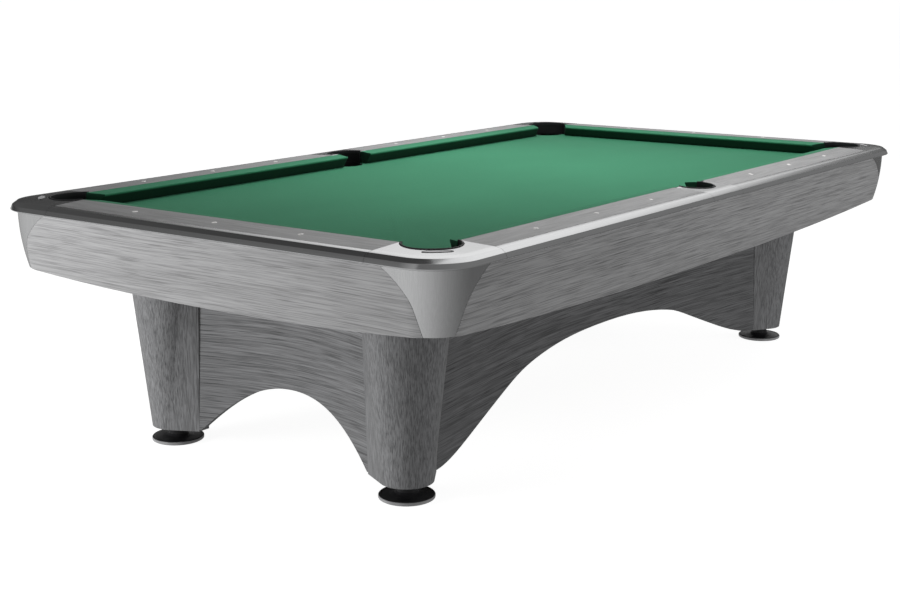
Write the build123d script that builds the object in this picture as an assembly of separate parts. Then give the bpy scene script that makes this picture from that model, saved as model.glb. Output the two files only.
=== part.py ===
from build123d import *

import os
from math import acos, atan2, cos, pi, radians, sin, sqrt

os.makedirs("parts", exist_ok=True)

# A nine-foot pocket billiard table. Millimetres. +X runs along the table, +Y across it, +Z up.
# The origin is on the floor under the middle of the playing field.

# Driving dimensions: playing field, heights, cabinet plan
FIELD_LENGTH = 2540.0  # between the end cushion noses
FIELD_WIDTH = 1270.0  # between the side cushion noses
RAIL_CREST = 745.0  # floor to the rail top where it meets the cushion
RAIL_EDGE = 740.5  # floor to the outer edge of the rail laminate
BED = 701.0  # floor to the cloth
CLOTH = 1.0
SLATE = 25.0
RAIL_BAND = 149.0  # cushion nose to the outer edge of the rail laminate
CORNER_RADIUS = 100.0  # plan radius of that edge at the table's corners

NOSE_X, NOSE_Y = FIELD_LENGTH / 2, FIELD_WIDTH / 2
EDGE_X, EDGE_Y = NOSE_X + RAIL_BAND, NOSE_Y + RAIL_BAND
ARC_X, ARC_Y = EDGE_X - CORNER_RADIUS, EDGE_Y - CORNER_RADIUS
SLATE_TOP = BED - CLOTH
SLATE_BASE = SLATE_TOP - SLATE

# Cushions: nose height over the bed, depth back to the rail, and how their ends are cut
NOSE_HEIGHT = 37.5
CUSHION_DEPTH = 47.0
CORNER_CUT = 83.0  # nose corner to the cushion tip, measured along the nose line
CORNER_HEEL = 50.0  # the same at the back of the cushion
MIDDLE_TIP = 65.0
MIDDLE_HEEL = 61.0
BACK_X, BACK_Y = NOSE_X + CUSHION_DEPTH, NOSE_Y + CUSHION_DEPTH

# Joints between rails and pocket castings
SIDE_JOINT = 1208.0  # x of the joint at the corner casting
END_JOINT = 579.0  # y of the joint at the corner casting
MIDDLE_JOINT = 97.0  # x of the joint at the middle casting
JOINT_GAP = 0.4

# Pockets: centre, casting opening and rubber bucket
CORNER_POCKET = (NOSE_X + 12.0, NOSE_Y + 16.0)
CORNER_POCKET_R = 79.0
MIDDLE_POCKET_Y = NOSE_Y + 68.0
MIDDLE_POCKET_R = 64.0
LINER_WALL = 5.0
LINER_GAP = 0.5
BUCKET_BASE = 556.0
DROP = (NOSE_X + 39.0, NOSE_Y + 39.0)  # centre of the corner hole in the slate
DROP_R = 72.0
MIDDLE_DROP_R = 62.0
DROP_GAP = 1.5

# Slate and subframe
SLATE_EDGE_X, SLATE_EDGE_Y = 1366.0, 735.0
SLATE_JOINT = 453.0
BEAM_HEIGHT = 100.0
BEAM_BASE = SLATE_BASE - BEAM_HEIGHT
SIDE_BEAM_Y = (530.0, 590.0)
SIDE_BEAM_END = 1190.0

# Cabinet apron: bulge beyond the rail edge, section radius, thickness
APRON_TOP = 708.0
APRON_PROUD = 18.5
APRON_SECTION_R = 570.0
APRON_THICKNESS = 18.0
APRON_LOWEST = 505.0
SKIRT_WALL = 6.0
SKIRT_BASE = 543.0
SKIRT_REVEAL = 1.0
SEAM_X, SEAM_Y = NOSE_X + 158.0, NOSE_Y + 158.0  # corner that the skirt seams are set out from

# Legs stand on the foot axes and taper outwards going up
FOOT_X, FOOT_Y = 1116.0, 440.0
LEG_BASE = 48.0
LEG_TOP = BEAM_BASE
LEG_BASE_R = 75.0
LEG_TAPER = 0.104
LEG_FLOOR = 18.0
END_SEAM = (1139.0, 324.0)  # where the leg meets the end panel, at the leg's foot
SIDE_SEAM = (1013.0, 463.0)  # where the leg meets the side panel
END_SEAM_LEAN = 0.0375
SIDE_SEAM_LEAN = 0.067
SEAM_RETURN = 40.0
PANEL_THICKNESS = 18.0
SIDE_PANEL_SAG = 80.0  # how far the middle of the panel curves inwards
END_PANEL_SAG = 58.0

# Levelling feet
PAD_R = 78.0
PAD_RIM = 12.0
HUB_R = 26.0
SCREW_R = 10.0
SCREW_CLEARANCE = 0.05
SCREW_BASE = 22.0
SCREW_TOP = 150.0
PLATE_R = 48.0
PLATE_THICKNESS = 8.0
BOSS_R = 18.0
BOSS_HEIGHT = 30.0
POST = 70.0

# Castings, sights and bolts
PLATE = 8.0  # thickness of a casting's top plate
SIGHT_R = 7.5
SIGHT_DEPTH = 2.0
SIGHT_SETBACK = 99.0  # behind the nose line
SIDE_SIGHTS = (337.0, 641.0, 945.0)
END_SIGHTS = (-304.0, 0.0, 304.0)
BOLT_R = 5.0
BOLT_SETBACK = 82.0
BOLT_TOP = 730.0
SIDE_BOLTS = (200.0, 650.0, 1120.0)
END_BOLTS = (-480.0, 0.0, 480.0)

CORNERS = {"front_left": (-1, -1), "front_right": (1, -1), "rear_left": (-1, 1), "rear_right": (1, 1)}
SIDES = {"front": -1, "rear": 1}
ENDS = {"left": -1, "right": 1}

nodes = {}


def mirrored(solid, sx, sy):
    """A copy of a piece made for the +X +Y quarter, moved to the quarter with signs sx, sy."""
    piece = solid
    if sx < 0:
        piece = mirror(piece, about=Plane.YZ)
    if sy < 0:
        piece = mirror(piece, about=Plane.XZ)
    return piece


def rail_height(out):
    """Height of the sloping rail top at a distance out from the nose line."""
    return RAIL_CREST - (RAIL_CREST - RAIL_EDGE) * (out - CUSHION_DEPTH) / (RAIL_BAND - CUSHION_DEPTH)


def block(x0, x1, y0, y1, z0, z1):
    """A box between two corners."""
    return Pos((x0 + x1) / 2, (y0 + y1) / 2, (z0 + z1) / 2) * Box(x1 - x0, y1 - y0, z1 - z0)


def disc(x, y, radius, z0, z1):
    """An upright cylinder."""
    return Pos(x, y, (z0 + z1) / 2) * Cylinder(radius, z1 - z0)


def prism(points, z0, z1):
    """A plan polygon raised from z0 to z1."""
    face = make_face(Polyline(*[(x, y, z0) for x, y in points], close=True))
    return extrude(face, amount=z1 - z0, dir=(0, 0, 1))


def side_run(section, x0, x1):
    """A section (distance out from the nose line, height) run along the long side."""
    face = make_face(Polyline(*[(x0, NOSE_Y + out, z) for out, z in section], close=True))
    return extrude(face, amount=x1 - x0, dir=(1, 0, 0))


def end_run(section, y0, y1):
    """A section run along the short end."""
    face = make_face(Polyline(*[(NOSE_X + out, y0, z) for out, z in section], close=True))
    return extrude(face, amount=y1 - y0, dir=(0, 1, 0))


def corner_turn(section):
    """A section turned round the rounded corner."""
    face = make_face(Polyline(*[(ARC_X, NOSE_Y + out, z) for out, z in section], close=True))
    return revolve(face, axis=Axis((ARC_X, ARC_Y, 0), (0, 0, 1)), revolution_arc=-90)


def slot_cut(x, y, radius, reach, z0, z1, dx, dy):
    """A round hole carried outwards along (dx, dy), open to the edge of the slate."""
    far_x, far_y = x + reach * dx, y + reach * dy
    side_x, side_y = -dy * radius, dx * radius
    run = [
        (x + side_x, y + side_y),
        (x - side_x, y - side_y),
        (far_x - side_x, far_y - side_y),
        (far_x + side_x, far_y + side_y),
    ]
    return disc(x, y, radius, z0, z1) + prism(run, z0, z1)


# Slate bed in three slabs, and the cloth over it


def pocket_cuts(z0, z1):
    """Everything that the six pockets and the rail bolts take out of the slate and cloth."""
    diagonal = sqrt(0.5)
    corner = slot_cut(*DROP, DROP_R, 200, z0, z1, diagonal, diagonal)
    middle = slot_cut(0, MIDDLE_POCKET_Y, MIDDLE_DROP_R, 80, z0, z1, 0, 1)
    cuts = [mirrored(corner, sx, sy) for sx, sy in CORNERS.values()]
    cuts += [mirrored(middle, 1, sy) for sy in SIDES.values()]
    cuts += [disc(x, y, BOLT_R + 0.5, z0, z1) for x, y in bolt_places()]
    return cuts


def bolt_places():
    """Plan positions of the rail bolts."""
    y, x = NOSE_Y + BOLT_SETBACK, NOSE_X + BOLT_SETBACK - 6
    places = [(sx * at, sy * y) for at in SIDE_BOLTS for sx in (-1, 1) for sy in (-1, 1)]
    places += [(sx * x, at) for at in END_BOLTS for sx in (-1, 1)]
    return places


def bed():
    """Three slates that meet at flush joints, and the cloth stretched over all of them."""
    cuts = pocket_cuts(SLATE_BASE - 5, BED + 5)
    spans = {
        "slate_left": (-SLATE_EDGE_X, -SLATE_JOINT),
        "slate_centre": (-SLATE_JOINT, SLATE_JOINT),
        "slate_right": (SLATE_JOINT, SLATE_EDGE_X),
    }
    for name, (x0, x1) in spans.items():
        slab = block(x0, x1, -SLATE_EDGE_Y, SLATE_EDGE_Y, SLATE_BASE, SLATE_TOP)
        nodes[name] = slab - cuts
    cover = block(-SLATE_EDGE_X, SLATE_EDGE_X, -SLATE_EDGE_Y, SLATE_EDGE_Y, SLATE_TOP, BED)
    nodes["bed_cloth"] = cover - cuts


# Rails, cushions and sights


def sight_places():
    """Plan positions of the sights in the rail tops."""
    y, x = NOSE_Y + SIGHT_SETBACK, NOSE_X + SIGHT_SETBACK
    places = [(sx * at, sy * y) for at in SIDE_SIGHTS for sx in (-1, 1) for sy in (-1, 1)]
    places += [(sx * x, at) for at in END_SIGHTS for sx in (-1, 1)]
    return places


def rails():
    """Six timber rails, butted against the pocket castings and bored for sights and bolts."""
    face = rail_height(SIGHT_SETBACK) + 0.2
    sights = [disc(x, y, SIGHT_R, face - SIGHT_DEPTH, face) for x, y in sight_places()]
    bores = [disc(x, y, BOLT_R + 0.1, BED, BOLT_TOP + 4) for x, y in bolt_places()]
    section = [(CUSHION_DEPTH, BED), (CUSHION_DEPTH, RAIL_CREST), (RAIL_BAND, RAIL_EDGE), (RAIL_BAND, BED)]
    side = side_run(section, MIDDLE_JOINT, SIDE_JOINT)
    end = end_run(section, -END_JOINT, END_JOINT)
    for name, (sx, sy) in CORNERS.items():
        nodes[name + "_rail"] = mirrored(side, sx, sy) - sights - bores
    for name, sx in ENDS.items():
        nodes[name + "_end_rail"] = mirrored(end, sx, 1) - sights - bores
    nodes["sights"] = Compound(children=sights)


def cushion_section():
    """Section of a covered cushion, undercut below its nose."""
    nose = BED + NOSE_HEIGHT
    return [
        (0.0, nose - 2.0),
        (0.8, nose + 0.9),
        (CUSHION_DEPTH, RAIL_CREST),
        (CUSHION_DEPTH, BED + 0.5),
        (22.0, BED + 0.5),
        (19.0, BED + 6.0),
    ]


def cushions():
    """Rubber cushions under cloth, with their ends cut back towards the pockets."""
    tip, heel = NOSE_X - CORNER_CUT, NOSE_X - CORNER_HEEL
    plan = [(MIDDLE_TIP, NOSE_Y), (tip, NOSE_Y), (heel, BACK_Y), (MIDDLE_HEEL, BACK_Y)]
    side = side_run(cushion_section(), 0, NOSE_X) & prism(plan, BED, RAIL_CREST)
    tip, heel = NOSE_Y - CORNER_CUT, NOSE_Y - CORNER_HEEL
    plan = [(NOSE_X, -tip), (NOSE_X, tip), (BACK_X, heel), (BACK_X, -heel)]
    end = end_run(cushion_section(), -NOSE_Y, NOSE_Y) & prism(plan, BED, RAIL_CREST)
    for name, (sx, sy) in CORNERS.items():
        nodes[name + "_cushion"] = mirrored(side, sx, sy)
    for name, sx in ENDS.items():
        nodes[name + "_end_cushion"] = mirrored(end, sx, 1)


# Aluminium edge: a section run along each rail and round each corner casting


def edge_section():
    """Section of the edge trim: the rail's slope carried on, two facets and a beaked lip."""
    return [
        (RAIL_BAND, RAIL_EDGE),
        (RAIL_BAND + 19.0, RAIL_EDGE - 2.2),
        (RAIL_BAND + 33.0, RAIL_EDGE - 12.0),
        (RAIL_BAND + 38.5, RAIL_EDGE - 24.5),
        (RAIL_BAND + 37.5, RAIL_EDGE - 26.0),
        (RAIL_BAND + 21.0, APRON_TOP + 0.3),
        (RAIL_BAND, APRON_TOP + 0.3),
    ]


def edge_hollow():
    """The closed chamber inside the trim."""
    return [
        (RAIL_BAND + 3.0, RAIL_EDGE - 3.5),
        (RAIL_BAND + 18.0, RAIL_EDGE - 5.3),
        (RAIL_BAND + 30.8, RAIL_EDGE - 14.1),
        (RAIL_BAND + 34.8, RAIL_EDGE - 23.3),
        (RAIL_BAND + 20.5, APRON_TOP + 3.8),
        (RAIL_BAND + 3.0, APRON_TOP + 3.8),
    ]


def trims():
    """Hollow trim along the rails: four lengths on the long sides and two on the ends."""
    side = side_run(edge_section(), MIDDLE_JOINT + JOINT_GAP, SIDE_JOINT - JOINT_GAP)
    side -= side_run(edge_hollow(), MIDDLE_JOINT, SIDE_JOINT)
    end = end_run(edge_section(), JOINT_GAP - END_JOINT, END_JOINT - JOINT_GAP)
    end -= end_run(edge_hollow(), -END_JOINT, END_JOINT)
    nodes["side_trims"] = Compound(children=[mirrored(side, sx, sy) for sx, sy in CORNERS.values()])
    nodes["end_trims"] = Compound(children=[mirrored(end, sx, 1) for sx in ENDS.values()])


def plate_section(inner):
    """Section of a casting's top plate, from a given distance out to the rail edge."""
    top = rail_height(inner)
    return [(inner, top), (RAIL_BAND, RAIL_EDGE), (RAIL_BAND, RAIL_EDGE - PLATE), (inner, top - PLATE)]


def corner_cap():
    """Corner pocket casting: a sloping plate with the pocket mouth, a turned lip and two flanges."""
    flange, low, high = 8.0, RAIL_EDGE - PLATE, RAIL_EDGE - 2.5
    straight, turn = plate_section(CUSHION_DEPTH), plate_section(ARC_X - NOSE_X)
    cap = side_run(straight, SIDE_JOINT, ARC_X) + end_run(straight, END_JOINT, ARC_Y) + corner_turn(turn)
    lip = corner_turn(edge_section()) - corner_turn(edge_hollow())
    lip += side_run(edge_section(), SIDE_JOINT, ARC_X) - side_run(edge_hollow(), SIDE_JOINT, ARC_X)
    lip += end_run(edge_section(), END_JOINT, ARC_Y) - end_run(edge_hollow(), END_JOINT, ARC_Y)
    cap += lip
    corner = block(SIDE_JOINT, EDGE_X, BACK_Y, EDGE_Y, 0, 800)
    corner += block(BACK_X, EDGE_X, END_JOINT, EDGE_Y, 0, 800)
    cap += disc(*CORNER_POCKET, CORNER_POCKET_R + 5, low - 14, high) & corner
    cap += block(SIDE_JOINT, SIDE_JOINT + flange, BACK_Y + 24, EDGE_Y - 8, BED + 2, high)
    cap += block(BACK_X + 24, EDGE_X - 8, END_JOINT, END_JOINT + flange, BED + 2, high)
    return cap - disc(*CORNER_POCKET, CORNER_POCKET_R, 0, 800) - badge()


def middle_cap():
    """Middle pocket casting: a sloping plate with the pocket mouth and a length of the same lip."""
    x, low, high = MIDDLE_JOINT, RAIL_EDGE - PLATE, RAIL_EDGE - 2.5
    cap = side_run(plate_section(CUSHION_DEPTH), -x, x)
    cap += side_run(edge_section(), -x, x) - side_run(edge_hollow(), -x, x)
    for inner, outer in ((-x, 8 - x), (x - 8, x)):
        cap += block(inner, outer, BACK_Y + 24, EDGE_Y - 8, BED + 2, high)
    ring = disc(0, MIDDLE_POCKET_Y, MIDDLE_POCKET_R + 5, low - 14, high)
    cap += ring & block(-x, x, BACK_Y, EDGE_Y, 0, 800)
    return cap - disc(0, MIDDLE_POCKET_Y, MIDDLE_POCKET_R, 0, 800)


def badge():
    """Blank oval plate let into a corner casting, across the diagonal behind the pocket."""
    out = CORNER_POCKET_R + 20
    x, y = CORNER_POCKET[0] + out * sqrt(0.5), CORNER_POCKET[1] + out * sqrt(0.5)
    oval = extrude(Ellipse(39, 11), amount=2.0)
    return Pos(x, y, RAIL_CREST - 3.4) * Rot(0, 0, -45) * oval


def castings():
    """Pocket castings and their badges."""
    cap, middle, plate = corner_cap(), middle_cap(), badge()
    for name, (sx, sy) in CORNERS.items():
        nodes[name + "_corner_cap"] = mirrored(cap, sx, sy)
    for name, sy in SIDES.items():
        nodes[name + "_middle_cap"] = mirrored(middle, 1, sy)
    nodes["badges"] = Compound(children=[mirrored(plate, sx, sy) for sx, sy in CORNERS.values()])


# Pocket buckets


def bucket(x, y, radius):
    """A tapered rubber cup that hangs through a hole in the slate."""
    waist, foot, top = SLATE_BASE - 30, BUCKET_BASE, BED + 2.5
    narrow = radius - 12
    section = [
        (0, foot),
        (narrow, foot),
        (radius, waist),
        (radius, top),
        (radius - LINER_WALL, top),
        (radius - LINER_WALL, waist),
        (narrow - LINER_WALL, foot + LINER_WALL),
        (0, foot + LINER_WALL),
    ]
    face = make_face(Polyline(*[(x + r, y, z) for r, z in section], close=True))
    return revolve(face, axis=Axis((x, y, 0), (0, 0, 1)), revolution_arc=360)


def collar(x, y, radius):
    """The wall of a liner that stands up inside the casting's mouth."""
    outer, low, top = radius - LINER_GAP, BED + 0.5, RAIL_CREST - 3.5
    return disc(x, y, outer, low, top) - disc(x, y, outer - LINER_WALL, low, top)


def liners():
    """Four corner and two middle liners: bucket below the slate, wall above it, open to the field."""
    far, wide = 90.0, 15.0
    heel_a = (NOSE_X - CORNER_HEEL + 1.5 - wide, BACK_Y + wide)
    heel_b = (BACK_X + wide, NOSE_Y - CORNER_HEEL + 1.5 - wide)
    field = [heel_a, heel_b, (heel_b[0] - far, heel_b[1] - far), (heel_a[0] - far, heel_a[1] - far)]
    cup = bucket(*DROP, DROP_R - DROP_GAP)
    inside = CORNER_POCKET_R - LINER_GAP - LINER_WALL
    shelf = disc(*DROP, DROP_R - DROP_GAP, BED - 4, BED + 2.5) - disc(*CORNER_POCKET, inside, 0, 800)
    corner = (cup + shelf + collar(*CORNER_POCKET, CORNER_POCKET_R)) - prism(field, SLATE_TOP - 6, 800)
    field = [(-far, BACK_Y + 1), (far, BACK_Y + 1), (far, BACK_Y - far), (-far, BACK_Y - far)]
    cup = bucket(0, MIDDLE_POCKET_Y, MIDDLE_DROP_R - DROP_GAP)
    middle = (cup + collar(0, MIDDLE_POCKET_Y, MIDDLE_POCKET_R)) - prism(field, SLATE_TOP - 6, 800)
    for name, (sx, sy) in CORNERS.items():
        nodes[name + "_pocket_liner"] = mirrored(corner, sx, sy)
    for name, sy in SIDES.items():
        nodes[name + "_middle_liner"] = mirrored(middle, 1, sy)


# Cabinet aprons and corner skirts


def apron_out(z):
    """How far the apron's outer face stands beyond the rail edge at height z."""
    return APRON_PROUD - (APRON_TOP - z) ** 2 / (2 * APRON_SECTION_R)


def apron_section(thickness, place):
    """Closed section of the apron: a hull-like curve outside, a parallel one inside."""
    heights = (APRON_TOP, (APRON_TOP + APRON_LOWEST) / 2, APRON_LOWEST)
    outer = [place(apron_out(z), z) for z in heights]
    inner = [place(apron_out(z) - thickness, z) for z in reversed(heights)]
    edges = [
        Edge.make_three_point_arc(*outer),
        Edge.make_line(outer[-1], inner[0]),
        Edge.make_three_point_arc(*inner),
        Edge.make_line(inner[-1], outer[0]),
    ]
    return Face(Wire(edges))


def apron_run(thickness, along):
    """The straight length of the apron section on a long side or a short end, full length."""
    if along == "side":
        face = apron_section(thickness, lambda out, z: (-ARC_X, EDGE_Y + out, z))
        return extrude(face, amount=2 * ARC_X, dir=(1, 0, 0))
    face = apron_section(thickness, lambda out, z: (EDGE_X + out, -ARC_Y, z))
    return extrude(face, amount=2 * ARC_Y, dir=(0, 1, 0))


def apron_corner(thickness):
    """The same section turned round the corner of the +X +Y quarter."""
    face = apron_section(thickness, lambda out, z: (ARC_X, EDGE_Y + out, z))
    return revolve(face, axis=Axis((ARC_X, ARC_Y, 0), (0, 0, 1)), revolution_arc=-90)


def seam_curve(edge, reveal):
    """Points of the sweeping joint between skirt and apron: distance from centre, and height."""
    setbacks = (205.0, 157.0, 114.0, 94.0, 83.0, 75.0, 71.0)
    heights = (722.0, 694.0, 656.0, 628.0, 592.0, 545.0, 495.0)
    return [(edge - back - reveal, z) for back, z in zip(setbacks, heights)]


def apron_window(edge, belly, place):
    """Elevation outline of an apron: two sweeping ends and a bellied lower edge."""
    right = seam_curve(edge, SKIRT_REVEAL)
    left = [(-s, z) for s, z in reversed(right)]
    low_right, low_left = belly[-1], belly[0]
    curve = Edge.make_spline([place(s, z) for s, z in right])
    back = Edge.make_spline([place(s, z) for s, z in left])
    top = Edge.make_line(place(*left[-1]), place(*right[0]))
    bottom = Edge.make_line(place(*right[-1]), place(*left[0]))
    hull = Face(Wire([curve, bottom, back, top]))
    under = Edge.make_spline([place(s, z) for s, z in belly])
    drop = 480.0
    box = [low_right, (low_right[0], drop), (low_left[0], drop), low_left]
    rest = Wire.make_polygon([place(*corner) for corner in box], close=False)
    return hull, Face(Wire([under, *rest.edges()]))


def belly_points(reach, tip, depth, power):
    """A lower edge that starts at height tip at each end and sinks by depth in the middle."""
    fractions = (-1.0, -0.85, -0.65, -0.35, 0.0, 0.35, 0.65, 0.85, 1.0)
    return [(reach * f, tip - depth * (1 - abs(f) ** power)) for f in fractions]


def aprons():
    """Long and short aprons, each carried part of the way round the corners."""
    corner = apron_corner(APRON_THICKNESS)
    body = apron_run(APRON_THICKNESS, "side") + corner + mirrored(corner, -1, 1)
    hull, under = apron_window(SEAM_X, belly_points(1375.0, 544.0, 34.0, 2.4), lambda s, z: (s, 560, z))
    side = body & extrude(hull, amount=300, dir=(0, 1, 0))
    side = side - extrude(under, amount=300, dir=(0, 1, 0))
    body = apron_run(APRON_THICKNESS, "end") + corner + mirrored(corner, 1, -1)
    hull, under = apron_window(SEAM_Y, belly_points(740.0, 544.0, 28.0, 2.2), lambda s, z: (1200, s, z))
    end = body & extrude(hull, amount=300, dir=(1, 0, 0))
    end = end - extrude(under, amount=300, dir=(1, 0, 0))
    for name, sy in SIDES.items():
        nodes[name + "_apron"] = mirrored(side, 1, sy)
    for name, sx in ENDS.items():
        nodes[name + "_end_apron"] = mirrored(end, sx, 1)


def skirts():
    """Cast corner skirts that fill the corners between the aprons."""
    corner = apron_corner(SKIRT_WALL)
    ring = corner + (apron_run(SKIRT_WALL, "side") & block(ARC_X - 200, ARC_X, 0, 900, 0, 800))
    ring += apron_run(SKIRT_WALL, "end") & block(0, 1500, ARC_Y - 200, ARC_Y, 0, 800)

    def window(edge, place):
        seam = seam_curve(edge, 0.0)
        far = 1600.0
        curve = Edge.make_spline([place(s, z) for s, z in seam])
        rest = Wire.make_polygon(
            [place(*seam[-1]), place(far, seam[-1][1]), place(far, seam[0][1]), place(*seam[0])], close=False
        )
        return Face(Wire([curve, *rest.edges()]))

    along_y = extrude(window(SEAM_X, lambda s, z: (s, 0, z)), amount=900, dir=(0, 1, 0))
    along_x = extrude(window(SEAM_Y, lambda s, z: (0, s, z)), amount=1600, dir=(1, 0, 0))
    skirt = ring & along_y & along_x
    skirt -= block(0, 1600, 0, 900, 400, SKIRT_BASE)
    for name, (sx, sy) in CORNERS.items():
        nodes[name + "_corner_skirt"] = mirrored(skirt, sx, sy)


# Subframe, legs and base panels


def subframe():
    """Timber frame under the slate: two side beams and five cross beams."""
    y0, y1 = SIDE_BEAM_Y
    timbers = [block(-SIDE_BEAM_END, SIDE_BEAM_END, y0, y1, BEAM_BASE, SLATE_BASE)]
    timbers.append(block(-SIDE_BEAM_END, SIDE_BEAM_END, -y1, -y0, BEAM_BASE, SLATE_BASE))
    widths = {-FOOT_X: 120.0, -SLATE_JOINT: 90.0, 0.0: 60.0, SLATE_JOINT: 90.0, FOOT_X: 120.0}
    for x, width in widths.items():
        timbers.append(block(x - width / 2, x + width / 2, -y0, y0, BEAM_BASE, SLATE_BASE))
    nodes["subframe_timbers"] = Compound(children=timbers)


def tangent_angle(px, py, radius, side):
    """Angle at the foot axis of the point where a line from (px, py) touches the leg's round."""
    dx, dy = px - FOOT_X, py - FOOT_Y
    return atan2(dy, dx) + side * acos(radius / sqrt(dx * dx + dy * dy))


def leg_seams(z):
    """Plan points where the leg's faces meet the end panel and the side panel at height z."""
    rise = z - LEG_BASE
    end = (END_SEAM[0], END_SEAM[1] - END_SEAM_LEAN * rise)
    side = (SIDE_SEAM[0] - SIDE_SEAM_LEAN * rise, SIDE_SEAM[1])
    return end, side


def leg_section(z):
    """Plan of a leg at height z: a round nose on the foot axis, drawn back to the two seams."""
    radius = LEG_BASE_R + LEG_TAPER * (z - LEG_BASE)
    end, side = leg_seams(z)
    start = tangent_angle(*end, radius, 1)
    stop = tangent_angle(*side, radius, -1)

    def on_round(angle):
        return (FOOT_X + radius * cos(angle), FOOT_Y + radius * sin(angle), z)

    first, last = on_round(start), on_round(stop)
    end_back, side_back = (end[0] - SEAM_RETURN, end[1], z), (side[0], side[1] - SEAM_RETURN, z)
    edges = [
        Edge.make_line((*end, z), first),
        Edge.make_three_point_arc(first, on_round((start + stop) / 2), last),
        Edge.make_line(last, (*side, z)),
        Edge.make_line((*side, z), side_back),
        Edge.make_line(side_back, end_back),
        Edge.make_line(end_back, (*end, z)),
    ]
    return Face(Wire(edges))


def legs():
    """Coopered legs with a tapered bore, and the hardwood posts that carry the load inside."""
    leg = loft([leg_section(LEG_BASE), leg_section(LEG_TOP)], ruled=True)
    floor_top = LEG_BASE + LEG_FLOOR
    bore = Cone(57, 90, LEG_TOP - floor_top, align=(Align.CENTER, Align.CENTER, Align.MIN))
    leg -= Pos(FOOT_X, FOOT_Y, floor_top) * bore
    leg -= disc(FOOT_X, FOOT_Y, SCREW_R + 4, 0, floor_top)
    plate_top = floor_top + PLATE_THICKNESS
    half = POST / 2
    post = block(FOOT_X - half, FOOT_X + half, FOOT_Y - half, FOOT_Y + half, plate_top, LEG_TOP)
    post -= disc(FOOT_X, FOOT_Y, BOSS_R + 0.5, 0, plate_top + BOSS_HEIGHT + 1)
    post -= disc(FOOT_X, FOOT_Y, SCREW_R + 2, 0, SCREW_TOP + 10)
    plate = disc(FOOT_X, FOOT_Y, PLATE_R, floor_top, plate_top)
    plate += disc(FOOT_X, FOOT_Y, BOSS_R, plate_top, plate_top + BOSS_HEIGHT)
    plate -= disc(FOOT_X, FOOT_Y, SCREW_R + SCREW_CLEARANCE, 0, 300)
    for name, (sx, sy) in CORNERS.items():
        nodes[name + "_leg"] = mirrored(leg, sx, sy)
    nodes["leg_posts"] = Compound(children=[mirrored(post, sx, sy) for sx, sy in CORNERS.values()])
    nodes["foot_plates"] = Compound(children=[mirrored(plate, sx, sy) for sx, sy in CORNERS.values()])


def curved_board(half, face, sag, place):
    """Plan of a base panel: a board bent inwards by sag between two legs."""
    inner = face - PANEL_THICKNESS
    edges = [
        Edge.make_three_point_arc(place(-half, face), place(0, face - sag), place(half, face)),
        Edge.make_line(place(half, face), place(half, inner)),
        Edge.make_three_point_arc(place(half, inner), place(0, inner - sag), place(-half, inner)),
        Edge.make_line(place(-half, inner), place(-half, face)),
    ]
    return extrude(Face(Wire(edges)), amount=LEG_TOP, dir=(0, 0, 1))


def arch_window(half_low, half_top, arch, place):
    """Elevation of a base panel: leaning ends, a flat top and an arched lower edge."""
    foot_z = arch[-1][1]
    left = [(-s, z) for s, z in arch[1:]]
    points = [*reversed(left), *arch]
    lean = (half_low - half_top) / (LEG_TOP - LEG_BASE)
    end = half_low - lean * (foot_z - LEG_BASE)
    under = Edge.make_spline([place(s, z) for s, z in points])
    shape = [place(points[-1][0], foot_z), place(end, foot_z), place(half_top, LEG_TOP)]
    shape += [place(-half_top, LEG_TOP), place(-end, foot_z), place(points[0][0], foot_z)]
    return Face(Wire([under, *Wire.make_polygon(shape, close=False).edges()]))


def base_panels():
    """Long and short base panels, bowed in plan and arched below."""
    (_, end_y), (side_x, _) = leg_seams(LEG_TOP)
    reach, rise = (0, 200, 385, 510, 624, 740, 850, 940, 1008), (261, 256, 236, 209, 168, 124, 84, 59, 52)
    side_arch = list(zip(reach, rise))
    board = curved_board(SIDE_SEAM[0], SIDE_SEAM[1], SIDE_PANEL_SAG, lambda s, d: (s, d, 0))
    window = arch_window(SIDE_SEAM[0], side_x, side_arch, lambda s, z: (s, 300, z))
    side = board & extrude(window, amount=250, dir=(0, 1, 0))
    reach, rise = (0, 60, 140, 210, 270, 318), (217, 212, 187, 146, 98, 53)
    end_arch = list(zip(reach, rise))
    board = curved_board(END_SEAM[1], END_SEAM[0], END_PANEL_SAG, lambda s, d: (d, s, 0))
    window = arch_window(END_SEAM[1], end_y, end_arch, lambda s, z: (1000, s, z))
    end = board & extrude(window, amount=250, dir=(1, 0, 0))
    for name, sy in SIDES.items():
        nodes[name + "_base_panel"] = mirrored(side, 1, sy)
    for name, sx in ENDS.items():
        nodes[name + "_end_base_panel"] = mirrored(end, sx, 1)


# Levelling feet and fasteners


def feet():
    """Swivel feet: a broad pad with a hub, and the screw that turns in the leg's plate."""
    hub_top = LEG_BASE - 1.0
    pad = disc(FOOT_X, FOOT_Y, PAD_R, 0, PAD_RIM)
    pad = fillet(pad.edges().filter_by(GeomType.CIRCLE), 2.0)
    pad += disc(FOOT_X, FOOT_Y, HUB_R, PAD_RIM - 1, hub_top)
    pad -= disc(FOOT_X, FOOT_Y, SCREW_R + SCREW_CLEARANCE, SCREW_BASE - SCREW_CLEARANCE, 100)
    screw = disc(FOOT_X, FOOT_Y, SCREW_R, SCREW_BASE, SCREW_TOP)
    screw = chamfer(screw.edges().filter_by(GeomType.CIRCLE), 1.5)
    for name, (sx, sy) in CORNERS.items():
        nodes[name + "_foot_pad"] = mirrored(pad, sx, sy)
        nodes[name + "_foot_screw"] = mirrored(screw, sx, sy)


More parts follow.
